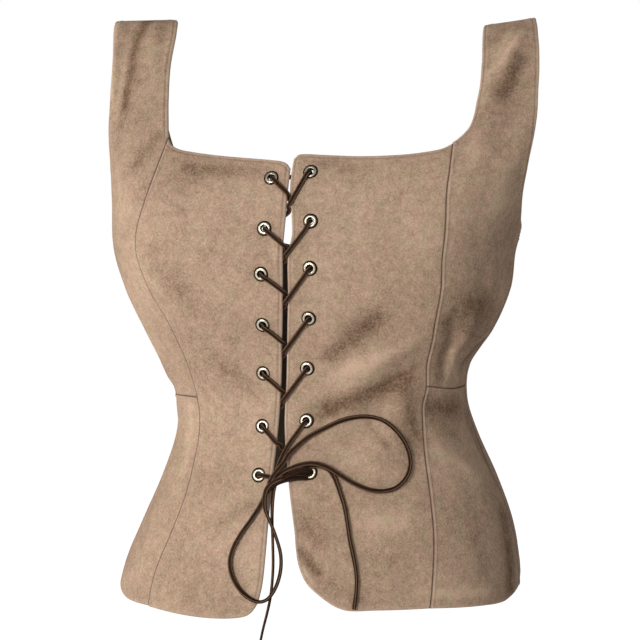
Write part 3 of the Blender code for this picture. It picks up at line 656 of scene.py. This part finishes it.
def armhole_grids(inner, outer, bottom, rows, seam_lap):
    """Grids of a panel from its strap's inner edge and seam to its armhole and side seam.

    The strap and the part below it run to the armhole's edge. Past its foot a third grid fills the corner
    between the armhole's curve, which is its top line, and the side seam. Bottom is told by angle.
    """
    foot = outer(STRAP_FOOT)
    side_seam = moved(level(float(outer(UNDERARM_DROP))), seam_lap)
    drops = np.linspace(STRAP_FOOT, UNDERARM_DROP, ARMHOLE_POINTS)
    curve = outer(drops)
    across = (curve - foot) / (side_seam(UNDERARM_DROP) - foot)
    strap = lay_out(STRAP_COLUMNS, STRAP_ROWS, inner, outer, level(-SEAM_LAP), level(STRAP_FOOT),
                    ("first", "last", "top"))
    below = lay_out(STRAP_COLUMNS, rows, inner, level(foot), level(STRAP_FOOT),
                    lambda share: bottom(inner(WAIST_DROP) * (1 - share) + foot * share), ALL_ROUND)
    under = lay_out(UNDERARM_COLUMNS, rows, level(foot), side_seam,
                    lambda share: np.interp(share, across, drops),
                    lambda share: bottom(foot * (1 - share) + side_seam(WAIST_DROP) * share),
                    ("last", "top", "bottom"))
    return strap, below, under


for side, name in side_names.items():
    seam_angle = princess[side](WAIST_DROP)
    strap, below, under = armhole_grids(
        strap_and_seam(side), armhole[side],
        lambda angle: waist[side]((angle - seam_angle) / (side * SIDE_SEAM - seam_angle)) + SEAM_LAP,
        UPPER_ROWS, side * SEAM_LAP)
    seam = seam_at_side[side]
    corner = float(neck[side](1))
    edges = [("turned", *border(strap, "first", high=corner)), (seam, *border(strap, "first", low=corner))]
    edges += trimmed(below, first=seam) + trimmed(strap, last="turned")
    edges += trimmed(under, top="turned", last="seam_low") + trimmed(strap, top="seam_low")
    edges += trimmed(below, bottom="seam_low") + trimmed(under, bottom="seam_low")
    panel = sew_panel("suede_side_upper_" + name, [strap, below, under], edges, "front_side_upper_" + name)

# Side skirts: the short lower side fronts, from the waist seam to the hem, of the same suede. The hem is
# turned up and shows a faint pressed line.

# Share of the way from princess seam to side seam, drop
hem_side = sides(
    ((0, 523), (0.3, 522), (0.6, 517), (1, 511)),
    ((0, 514), (0.4, 516), (0.7, 517), (1, 511)),
)
SKIRT_COLUMNS = 46
SKIRT_ROWS = 70

for side, name in side_names.items():
    grid = lay_out(SKIRT_COLUMNS, SKIRT_ROWS, moved(princess[side], -side * SEAM_LAP),
                   moved(level(side * SIDE_SEAM), side * SEAM_LAP),
                   lambda share: waist[side](share) - SEAM_LAP, hem_side[side], ALL_ROUND)
    edges = trimmed(grid, first=seam_at_side[side], last="seam_low", top="seam_high", bottom="hem")
    panel = sew_panel("suede_side_lower_" + name, [grid], edges, "front_side_lower_" + name)

# Back: two halves that meet at a centre back seam, each with its own strap, between a scooped neckline and
# an arched hem. They are plain, as the hidden side of such a vest, with a few creases at the waist.

# Share of the way from centre back to the strap's inner edge, drop
back_neck = column(((0, 222), (0.3, 219), (0.55, 209), (0.75, 194), (0.9, 174), (1, 148)), 1)
# Drop, angle from the centre back
back_inner = sides((
    (0, 30.5), (14, 33.5), (40, 40), (75, 44.5), (110, 46.5), (148, 46), (220, 42), (345, 39), (512, 40),
), (
    (0, 33.5), (20, 31), (60, 28.3), (100, 27), (148, 29), (220, 35), (345, 38), (512, 40),
))
back_armhole = sides((
    (0, 62), (20, 64), (60, 69.5), (90, 72.5), (120, 75), (150, 77.5), (176, 80.5), (190, 83),
    (199, 85.5), (204, 88), (206, 90),
), (
    (0, 53), (12, 51), (24, 48.8), (36, 46.8), (48, 45.2), (72, 43.3), (96, 43.5), (120, 45.2),
    (144, 48.3), (168, 54), (180, 58.5), (190, 64), (198, 71.5), (203, 80), (206, 90),
))
# Angle from the centre back, drop
back_hem = column(((0, 438), (32, 439), (45, 446), (58, 461), (70, 481), (81, 500), (90, 511)), 1)
CENTRE_BACK = 180.0
BACK_CENTRE_COLUMNS = 40
BACK_ROWS = 124


def from_back(side, curves):
    """Line told by its angle from the centre back."""
    return lambda drop: side * (CENTRE_BACK - curves[side](drop))


for side, name in side_names.items():
    strap_line = from_back(side, back_inner)
    strap, below, under = armhole_grids(
        strap_line, from_back(side, back_armhole), lambda angle: back_hem(CENTRE_BACK - abs(angle)),
        BACK_ROWS, -side * SEAM_LAP)
    middle = lay_out(BACK_CENTRE_COLUMNS, BACK_ROWS, moved(level(side * CENTRE_BACK), side * SEAM_LAP),
                     strap_line, back_neck, lambda share: back_hem(back_inner[side](WAIST_DROP) * share),
                     ("first", "top", "bottom"))
    edges = trimmed(strap, first="turned") + trimmed(middle, top="turned") + trimmed(strap, last="turned")
    edges += trimmed(under, top="turned", last="seam_high") + trimmed(strap, top="seam_high")
    edges += trimmed(middle, first="seam_low" if side < 0 else "seam_high")
    for grid in (under, below, middle):
        edges += trimmed(grid, bottom="hem")
    panel = sew_panel("suede_back_" + name, [strap, below, under, middle], edges, "back_" + name)

# Eyelets: fourteen small brass eyelets, each a crowned flange on the face of the suede, a barrel through it
# and a roll clenched on the reverse. The crown is bright brass. The bore and the rim are near-black:
# painted shade of the hole and of the shadow round the flange, partly age.
FLANGE_RADIUS = 6.4
BORE_RADIUS = 2.7
ROLL_RADIUS = 4.4
EYELET_SIDES = 40
# Radius, face of the suede (1 outside, -1 inside), height from that face, how bright it is rubbed, its low
# end near-black for painted shade and partly age
EYELET_PROFILE = (
    (BORE_RADIUS, -1, -0.3, 0.0),
    (BORE_RADIUS, 1, 0.1, 0.0),
    (BORE_RADIUS + 0.1, 1, 0.6, 0.0),
    (BORE_RADIUS + 0.35, 1, 0.95, 0.1),
    (BORE_RADIUS + 0.7, 1, 1.15, 0.8),
    (BORE_RADIUS + 1.2, 1, 1.2, 1.0),
    (FLANGE_RADIUS - 1.7, 1, 0.95, 0.8),
    (FLANGE_RADIUS - 1.3, 1, 0.75, 0.1),
    (FLANGE_RADIUS - 0.5, 1, 0.4, 0.0),
    (FLANGE_RADIUS, 1, 0.1, 0.0),
    (FLANGE_RADIUS - 0.2, 1, -0.15, 0.0),
    (BARREL_RADIUS - 0.05, 1, -0.1, 0.0),
    (BARREL_RADIUS - 0.05, -1, 0.1, 0.0),
    (ROLL_RADIUS, -1, -0.1, 0.0),
    (ROLL_RADIUS - 0.3, -1, -0.5, 0.4),
    (BORE_RADIUS + 0.4, -1, -0.6, 0.4),
)


def brass_finish():
    """Brass: bright where it is rubbed, dark brown in the bore and at the rim, as painted shade and partly
    age.
    """
    material, tree, shader = new_material("brass_aged_and_shaded")
    brass_tone = times_plus(tree, noise(tree, 900.0, 3.0), 0.35, kept_value(tree, "crown"))
    bright = ranged(tree, brass_tone, From_Min=0.25, From_Max=1.0)
    # The low end paints the bore and the rim dark: painted shade of the hole and the flange's shadow,
    # partly age
    colour = blend(tree, bright, (0.035, 0.02, 0.012, 1), (0.66, 0.59, 0.46, 1))
    polish = ranged(tree, bright, To_Min=0.55, To_Max=0.36)
    settle(shader, Base_Color=colour, Roughness=polish, Metallic=1.0)
    return material


brass = brass_finish()


def set_eyelet(side, row):
    """One eyelet, its profile spun round and set on the creased cloth."""
    shape = bmesh.new()
    crown = shape.verts.layers.float.new("crown")
    ring = []
    for radius, face, height, rubbed in EYELET_PROFILE:
        vert = shape.verts.new((radius * MM, 0, (face * SUEDE_THICKNESS / 2 + height) * MM))
        vert[crown] = rubbed
        ring.append(vert)
    edges = [shape.edges.new((ring[i - 1], ring[i])) for i in range(len(ring))]
    bmesh.ops.spin(shape, geom=ring + edges, cent=(0, 0, 0), axis=(0, 0, 1), angle=2 * math.pi,
                   steps=EYELET_SIDES, use_merge=True)
    smooth(shape)
    bmesh.ops.transform(shape, matrix=frame_at(*eyelet_place(side, row)), verts=shape.verts)
    name = f"{side_names[side]}_{row + 1}"
    eyelet = new_object("brass_eyelet_" + name, shape, brass)
    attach(eyelet, "root")
    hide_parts("eyelet_" + name)


for side in side_names:
    for row in range(EYELET_ROWS):
        set_eyelet(side, row)

# Lace: one flat thong of dark brown leather with paler cut edges. It crosses the gap from eyelet to eyelet,
# over the flange on one side and up from behind on the other, down to the knot.
LACE_WIDTH = 4.0
LACE_THICKNESS = 2.2
LACE_SIDES = 16
LACE_STEP = 1.6 * MM
# Power that rounds the lace's corners, and where across it and how sharply its cut edges begin
LACE_ROUNDING = 0.75
CUT_EDGE_AT = 0.6
CUT_EDGE_SHARPNESS = 10
# How much of the turn before it the lace's flat side keeps from step to step
TURN_KEPT = 0.4
# How much a drop is more than the depth below the shoulders, at the lacing
DROP_OVER_DEPTH = 18
# Lifts of the lace in the last bore, through the gap and at a front edge
LAST_BORE_LIFTS = (-1.6, 3.0)
GAP_LIFT = 1.2
LACE_LIFT = 2.95
# Half the gap between the two runs, which meet in the top row's middle
HALF_RUN_GAP = 0.05
# Lace up through the bore and over the flange, and behind the suede: distance from the eyelet's axis, lift
LACE_OVER_FLANGE = ((0, -1.6), (0, 1.8), (2.4, 4.1), (5.5, 3.9), (8.8, 2.9))
LACE_UNDER_ROLL = ((8.5, -3.1), (5.0, -4.0), (2.0, -3.9))
# Share of the way to the front edge at which a strand ends, how much lower it is there than its eyelet, and
# how much lower still each step through the gap is
PAST_EDGE = 1.06
strand_drop = {-1: 13.0, 1: 26.0}
gap_drop = {-1: 2.0, 1: 2.5}
# Last strand, from its eyelet to the knot: angle, drop, lift
LAST_STRAND_ROUTE = (
    (1.4, 374, 3.0), (-0.8, 383, 3.4), (-2.4, 392, 4.2), (-3.2, 399, 5.2), (-3.8, 405, 5.6),
)


def leather_finish():
    """Dark brown leather lace with paler cut edges and a dull shine."""
    material, tree, shader = new_material("lace_leather")
    grain = noise(tree, 700.0, 3.0)
    paler = times_plus(tree, grain, 0.3, kept_value(tree, "cut_edge"))
    colour = blend(tree, ranged(tree, paler, From_Min=0.12, From_Max=1.15), (0.013, 0.005, 0.0025, 1),
                   (0.2, 0.112, 0.066, 1))
    relief = node(tree, "ShaderNodeBump", Strength=0.4, Distance=0.0003, Height=grain)
    settle(shader, Base_Color=colour, Normal=relief.outputs["Normal"], Roughness=0.6,
           Specular_IOR_Level=0.06)
    return material


leather = leather_finish()


def smooth_route(points, turns):
    """Points along a smooth curve through a route's own points, each with the lace's turn there."""
    lengths = [(b - a).length for a, b in zip(points, points[1:])]
    heads = [(points[1] - points[0]) / lengths[0]]
    for i in range(1, len(points) - 1):
        heads.append((points[i + 1] - points[i - 1]) / (lengths[i - 1] + lengths[i]))
    heads.append((points[-1] - points[-2]) / lengths[-1])
    path = [(points[0], turns[0])]
    for i, length in enumerate(lengths):
        parts = max(1, math.ceil(length / LACE_STEP))
        for part in range(1, parts + 1):
            t = part / parts
            ease = t * t * (3 - 2 * t)
            out_of_a = heads[i] * (length * t * (1 - t) ** 2)
            into_b = heads[i + 1] * (length * t * t * (1 - t))
            point = points[i].lerp(points[i + 1], ease) + out_of_a - into_b
            path.append((point, turns[i] + (turns[i + 1] - turns[i]) * ease))
    return path


def nearest_out(point):
    """Outward direction of the front at a point, near enough for the lace's flat side."""
    drop = DROP_OVER_DEPTH - point.z / MM
    angle = math.degrees(math.atan2(point.x / right_width(drop), -point.y / front_depth(drop)))
    return Vector(outward(angle, drop))


def edge_share(flat):
    """How much a point of the lace's unit outline belongs to a cut edge."""
    return (abs(flat.x * flat.y) / CUT_EDGE_AT) ** CUT_EDGE_SHARPNESS


def lay_lace(shape, path, paleness=1.0):
    """Lace swept along a path into a mesh, its flat side kept to the cloth and then turned."""
    cut_edge = shape.verts.layers.float.get("cut_edge") or shape.verts.layers.float.new("cut_edge")
    size = Matrix.Diagonal((LACE_WIDTH / 2 * MM, LACE_THICKNESS / 2 * MM, 1, 1))
    places = []
    up = nearest_out(path[0][0])
    for i, (point, turn) in enumerate(path):
        ahead = (path[min(i + 1, len(path) - 1)][0] - path[max(i - 1, 0)][0]).normalized()
        carried = (up - ahead * up.dot(ahead)).normalized()
        wanted = nearest_out(point)
        wanted = wanted - ahead * wanted.dot(ahead)
        if wanted.dot(carried) < 0:
            wanted = -wanted
        up = (wanted + carried * TURN_KEPT).normalized()
        here = Matrix((up.cross(ahead), up, up.cross(ahead).cross(up))).transposed().to_4x4()
        turned = Matrix.Rotation(math.radians(turn), 4, "Z")
        places.append(Matrix.Translation(point) @ here @ turned @ size)
    ring = bmesh.ops.create_circle(shape, cap_ends=True, segments=LACE_SIDES, radius=1)["verts"]
    for vert in ring:
        x, y = (math.copysign(abs(v) ** LACE_ROUNDING, v) for v in vert.co.xy)
        vert.co = (x, y, 0)
        vert[cut_edge] = paleness * edge_share(vert.co)
    edges = [edge for edge in shape.edges if edge.verts[0] in ring and edge.verts[1] in ring]
    bmesh.ops.transform(shape, matrix=places[0], verts=ring)
    for before, after in zip(places, places[1:]):
        made = bmesh.ops.extrude_edge_only(shape, edges=edges)["geom"]
        edges = [g for g in made if isinstance(g, bmesh.types.BMEdge)]
        verts = [g for g in made if isinstance(g, bmesh.types.BMVert)]
        bmesh.ops.transform(shape, matrix=after @ before.inverted(), verts=verts)
        for vert in verts:
            vert[cut_edge] = paleness * edge_share(after.inverted() @ vert.co)
    bmesh.ops.contextual_create(shape, geom=edges)


def finish_lace(name, shape, replaced):
    """A piece of lace from its mesh."""
    smooth(shape)
    lace = new_object(name, shape, leather)
    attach(lace, "root")
    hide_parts(replaced)
    return lace


def laced(side, from_edge, drop, lift):
    """Place of the lace at a length from a front edge."""
    return Vector(cloth(moved(front_edge[side], side * from_edge)(drop), drop, lift))


def in_gap(drop, lift):
    """Place of the lace midway between the front edges."""
    return Vector(cloth((front_edge[-1](drop) + front_edge[1](drop)) / 2, drop, lift))


def strand(side, row, edge_drop, out):
    """Lace from an eyelet out over its flange to just past the front edge, or in to it from there."""
    from_edge, drop = eyelets[side][row]
    way = math.hypot(from_edge, edge_drop - drop)
    steps = ((way * PAST_EDGE, -LACE_LIFT),) + LACE_UNDER_ROLL
    if out:
        steps = LACE_OVER_FLANGE + ((way * PAST_EDGE, LACE_LIFT),)
    places = []
    for away, lift in steps:
        share = away / way
        places.append(laced(side, from_edge * (1 - share), drop + (edge_drop - drop) * share, lift))
    return places


def lower_end(side, row):
    """Drop at which the strand over an eyelet's flange reaches the front edge."""
    return eyelets[side][row][1] + strand_drop[side]


def lace_run(first_side, last_row):
    """Lace from the middle of the top row, criss-cross down to the last row that it comes up through."""
    top_drop = (eyelets[-1][0][1] + eyelets[1][0][1]) / 2
    route = [in_gap(top_drop, -LACE_LIFT) + Vector((first_side * HALF_RUN_GAP * MM, 0, 0))]
    route += strand(first_side, 0, top_drop, False)[1:]
    side = first_side
    for row in range(last_row):
        edge_drop = lower_end(side, row)
        through = gap_drop[side]
        route += strand(side, row, edge_drop, True)
        route += [in_gap(edge_drop + through, GAP_LIFT), in_gap(edge_drop + 2 * through, -GAP_LIFT)]
        route += strand(-side, row + 1, edge_drop + 3 * through, False)
        side = -side
    return route, side


def on_route(route):
    """Places in metres of a route told as angle, drop, lift and perhaps more."""
    return [Vector(cloth(*place[:3])) for place in route]


for first_side, name in ((1, "right"), (-1, "left")):
    last_row = EYELET_ROWS - 1 if first_side > 0 else EYELET_ROWS - 2
    route, side = lace_run(first_side, last_row)
    if first_side > 0:
        route += [laced(side, *eyelets[side][last_row], lift) for lift in LAST_BORE_LIFTS]
    else:
        route += strand(side, last_row, lower_end(side, last_row), True)[:-1] + on_route(LAST_STRAND_ROUTE)
    shape = bmesh.new()
    lay_lace(shape, smooth_route(route, [0.0] * len(route)))
    finish_lace("laced_cord_" + name, shape, "lace_run_" + name)

# Bow: the lace is tied in front of the last right eyelet in a long wrapped hitch, which also turns once
# through the last left eyelet, with one loop out to the right, one hanging below, and two free tails. The
# loops and tails run on through the hitch.

# Angle, drop, lift, how far the flat side is turned from the cloth
HITCH_FIRST = (
    (6.4, 404, 1.6, 0), (6.2, 403.2, 4.4, 0), (4.8, 402.8, 6.2, 0), (2.6, 404.4, 7.0, 10),
    (0.2, 407.8, 7.0, 15), (-2.2, 411.4, 6.6, 10), (-4.4, 415, 6.0, 0), (-5.8, 419, 5.4, 0),
)
HITCH_SECOND = (
    (5.8, 406.2, 3.6, 0), (4.2, 405.8, 5.0, 10), (2.0, 406.2, 5.4, 15), (-0.4, 407.8, 5.4, 15),
    (-2.6, 410.6, 5.4, 10), (-4.8, 414.4, 5.0, 0),
)
HITCH_THIRD = (
    (5.2, 408.8, 3.0, 0), (3.0, 409.2, 4.6, 10), (0.6, 410.4, 5.2, 10), (-1.8, 412.2, 5.2, 10),
    (-3.8, 414.6, 4.8, 0), (-5.4, 418, 4.4, 0),
)
# How pale the cut edges are in the hitch, where they are pressed together
HITCH_PALENESS = 0.15
# Turn through the last left eyelet: its two ends as distance from the front edge, drop and lift, and its
# drops at the front edge, behind it and in front of it
HITCH_FROM_BEHIND = (-4.5, 411.0, 3.6)
HITCH_LEFT_END = (-4.0, 409.6, 5.0)
HITCH_EDGE_DROPS = (411.5, 409.0)
LOOP_RIGHT_ROUTE = (
    (-6.2, 418, 4.4, 0), (-5.4, 413, 7.2, 0), (-4.0, 406.5, 8.4, 10), (-2.4, 400.5, 7.8, 10),
    (-1.3, 396, 6.6, 5), (-0.4, 391, 5.6, 0), (1.8, 384, 4.4, 0), (5.7, 375, 3.6, 10),
    (11.4, 367, 3.4, 20), (16.8, 361, 3.4, 30), (22.5, 358, 3.4, 35), (28.1, 358.5, 3.4, 45),
    (32.5, 363, 3.4, 55), (36.4, 373, 3.4, 65), (38.7, 385, 3.4, 65), (38.4, 397, 3.4, 60),
    (35.7, 408, 3.4, 50), (31.6, 416, 3.4, 40), (27.1, 419, 3.5, 25), (23.0, 418, 3.7, 10),
    (19.0, 413.5, 4.2, 0), (15.0, 406.5, 4.9, 0), (11.3, 400, 6.0, 0), (7.7, 397.2, 6.8, 0),
    (4.4, 398.0, 7.2, 0), (1.0, 401.4, 7.0, 10), (-1.8, 405.4, 6.2, 15), (-4.4, 410.6, 5.0, 10),
    (-6.0, 415, 4.4, 0),
)
LOOP_LEFT_ROUTE = (
    (-1.0, 409, 6.8, 0), (-3.6, 412, 7.4, 0), (-5.4, 415.5, 7.0, 0), (-6.5, 420.5, 6.6, 5),
    (-6.7, 427, 6.5, 15), (-6.3, 434, 6.2, 30), (-5.4, 440, 5.8, 45), (-3.9, 448, 5.0, 50),
    (-2.1, 460, 4.0, 50), (-0.9, 472, 3.4, 45), (-0.8, 485, 3.2, 40), (-1.8, 498, 3.2, 40),
    (-3.6, 507.5, 3.2, 50), (-5.6, 510.5, 3.3, 60), (-8.0, 508.5, 3.3, 50), (-10.8, 502, 3.3, 30),
    (-13.2, 492, 3.3, 15), (-14.6, 481, 3.3, 5), (-14.5, 470, 3.3, 0), (-13.2, 459, 3.3, 0),
    (-10.9, 447, 3.3, 0), (-8.9, 436, 3.2, 10), (-7.7, 429, 3.2, 15), (-6.7, 422, 3.2, 10),
    (-5.6, 417, 3.4, 0), (-4.4, 412.5, 4.0, 0),
)
TAIL_RIGHT_ROUTE = (
    (-2.6, 409, 4.2, 0), (0.4, 406, 4.0, 0), (3.4, 402.6, 3.8, 0), (6.0, 399.6, 3.4, 0),
    (8.4, 398.8, 3.2, 0), (10.8, 400.4, 3.2, 0), (12.4, 404.4, 3.3, 15), (13.6, 411.5, 3.3, 30),
    (14.7, 422, 3.3, 40), (15.6, 433, 3.3, 50), (16.1, 446, 3.3, 55), (16.5, 458, 3.3, 50),
    (17.3, 471, 3.3, 50), (18.0, 484, 3.3, 60), (18.1, 497, 3.3, 60), (17.6, 514, 3.3, 50),
)
TAIL_LEFT_ROUTE = (
    (-3.4, 410, 4.4, 0), (-4.2, 415.5, 3.4, 10), (-4.6, 422, 2.4, 20), (-4.6, 433, 1.4, 40),
    (-4.2, 446, 0.8, 55), (-3.6, 462, 0.3, 60), (-3.1, 480, -0.2, 60), (-3.1, 495, -0.6, 60),
    (-3.4, 508, -0.6, 60), (-4.0, 520, -0.4, 65), (-4.8, 533, 0.0, 70), (-5.6, 549, 0.4, 75),
)


def curved(route):
    """Path in metres through a route told as angle, drop, lift and turn."""
    return smooth_route(on_route(route), [place[3] for place in route])


hitch = bmesh.new()
for route in (HITCH_FIRST, HITCH_SECOND, HITCH_THIRD):
    lay_lace(hitch, curved(route), HITCH_PALENESS)
last_row = EYELET_ROWS - 1
route = [laced(-1, *HITCH_FROM_BEHIND)] + strand(-1, last_row, HITCH_EDGE_DROPS[0], False)
route += strand(-1, last_row, HITCH_EDGE_DROPS[1], True) + [laced(-1, *HITCH_LEFT_END)]
lay_lace(hitch, smooth_route(route, [0.0] * len(route)))
finish_lace("bow_knot", hitch, "lace_knot")

for name, route, far_end in (
    ("loop_right", LOOP_RIGHT_ROUTE, "object"),
    ("loop_left", LOOP_LEFT_ROUTE, "object"),
    ("tail_right", TAIL_RIGHT_ROUTE, "bare"),
    ("tail_left", TAIL_LEFT_ROUTE, "bare"),
):
    path = curved(route)
    shape = bmesh.new()
    lay_lace(shape, path)
    lace = finish_lace("bow_" + name, shape, "lace_" + name)
    middle = [point for point, turn in path]

# Studio: a wide pale floor in an even white surround, soft daylight from the left and a camera at about the
# height of the vest's middle.
FLOOR_HEIGHT = -1.4
FLOOR_SIZE = 12.0
FLOOR_GLOW = 0.8
FLOOR_GREY = 0.9
SKY_LIGHT = 0.28
CAMERA_TURN = 14.0
CAMERA_LIFT = 3.0
CAMERA_DISTANCE = 1.9
CAMERA_TARGET = Vector((0, 0, -0.264))
FIELD_OF_VIEW = 16.86
LIGHT_DISTANCE = 3.0
# Name, turn off the front, lift, width in metres, power in watts
SOFT_LIGHTS = (
    ("key", -17, 8, 1.0, 50),
    ("side", -78, 8, 1.0, 36),
    ("fill", 40, 30, 1.6, 5),
)


def white_strength(tree, seen, cast):
    """Strength of a white surround: one for the lens, and a lower one for what lights the vest."""
    ray = node(tree, "ShaderNodeLightPath").outputs["Is Camera Ray"]
    return ranged(tree, ray, To_Min=cast, To_Max=seen)


def direction(turn, lift):
    """Unit vector at a turn off the front and a lift, in degrees."""
    around, up = math.radians(turn), math.radians(lift)
    return Vector((math.sin(around) * math.cos(up), -math.cos(around) * math.cos(up), math.sin(up)))


def aimed(name, data, away, distance):
    """A light or camera that looks at the vest's middle from a direction."""
    made = bpy.data.objects.new(name, data)
    made.location = CAMERA_TARGET + away * distance
    made.rotation_euler = away.to_track_quat("Z", "Y").to_euler()
    bpy.context.scene.collection.objects.link(made)
    return made


shape = bmesh.new()
bmesh.ops.create_grid(shape, x_segments=1, y_segments=1, size=FLOOR_SIZE)
bmesh.ops.translate(shape, verts=shape.verts, vec=(0, 0, FLOOR_HEIGHT))
paper, tree, shader = new_material("white_paper")
settle(shader, Base_Color=(FLOOR_GREY, FLOOR_GREY, FLOOR_GREY, 1), Roughness=1.0,
       Emission_Color=(1, 1, 1, 1), Emission_Strength=white_strength(tree, FLOOR_GLOW, 0.0))
new_object("studio_floor", shape, paper)

for name, turn, lift, width, power in SOFT_LIGHTS:
    lamp = bpy.data.lights.new(name, "AREA")
    lamp.size = width
    lamp.energy = power
    aimed(name, lamp, direction(turn, lift), LIGHT_DISTANCE)

world = bpy.data.worlds.new("studio")
world.use_nodes = True
tree = world.node_tree
settle(tree.nodes["Background"], Color=(1, 1, 1, 1), Strength=white_strength(tree, 1.0, SKY_LIGHT))
bpy.context.scene.world = world
bpy.context.scene.view_settings.view_transform = "Standard"

lens = bpy.data.cameras.new("camera")
lens.angle = math.radians(FIELD_OF_VIEW)
bpy.context.scene.camera = aimed("camera", lens, direction(CAMERA_TURN, CAMERA_LIFT), CAMERA_DISTANCE)
